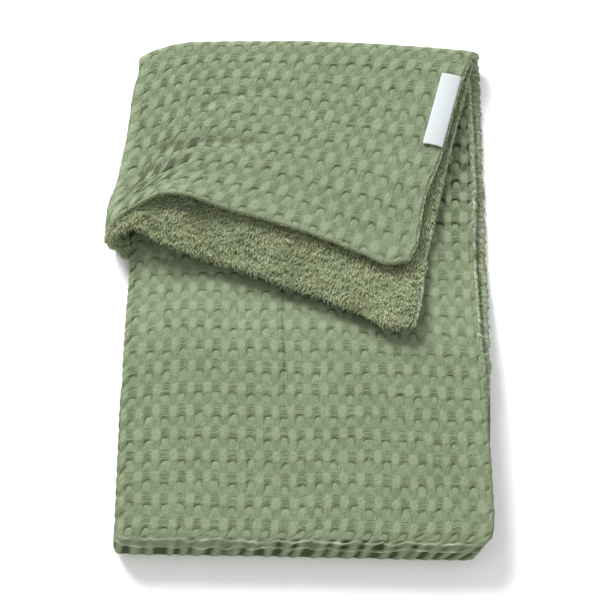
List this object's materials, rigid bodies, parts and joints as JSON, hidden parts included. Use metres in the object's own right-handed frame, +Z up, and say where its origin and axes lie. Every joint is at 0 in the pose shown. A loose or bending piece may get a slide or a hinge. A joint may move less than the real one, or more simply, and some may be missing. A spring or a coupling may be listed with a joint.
{
  "type": "folded waffle weave cotton blanket",
  "caption": "Baby blanket with a waffle weave cotton face and a teddy pile back, folded lengthwise, its top end turned forward as a slanted flap and its lower end tucked under.",
  "frame": {"origin": "under the middle of the folded blanket's box, on the surface it lies on", "axes": "+X to the open hems, away from the lengthwise fold; +Y towards the top fold; +Z up"},
  "size_m": [0.3861, 0.5868, 0.0397],
  "materials": {
    "waffle_cotton": "sage green waffle weave cotton, matt",
    "teddy_pile": "olive green curly short pile, matt",
    "label_white": "white woven tape, matt, bare"
  },
  "bodies": {
    "root": {"waffle_panel": "waffle_cotton", "teddy_panel": "teddy_pile", "label": "label_white"}
  },
  "joints": []
}
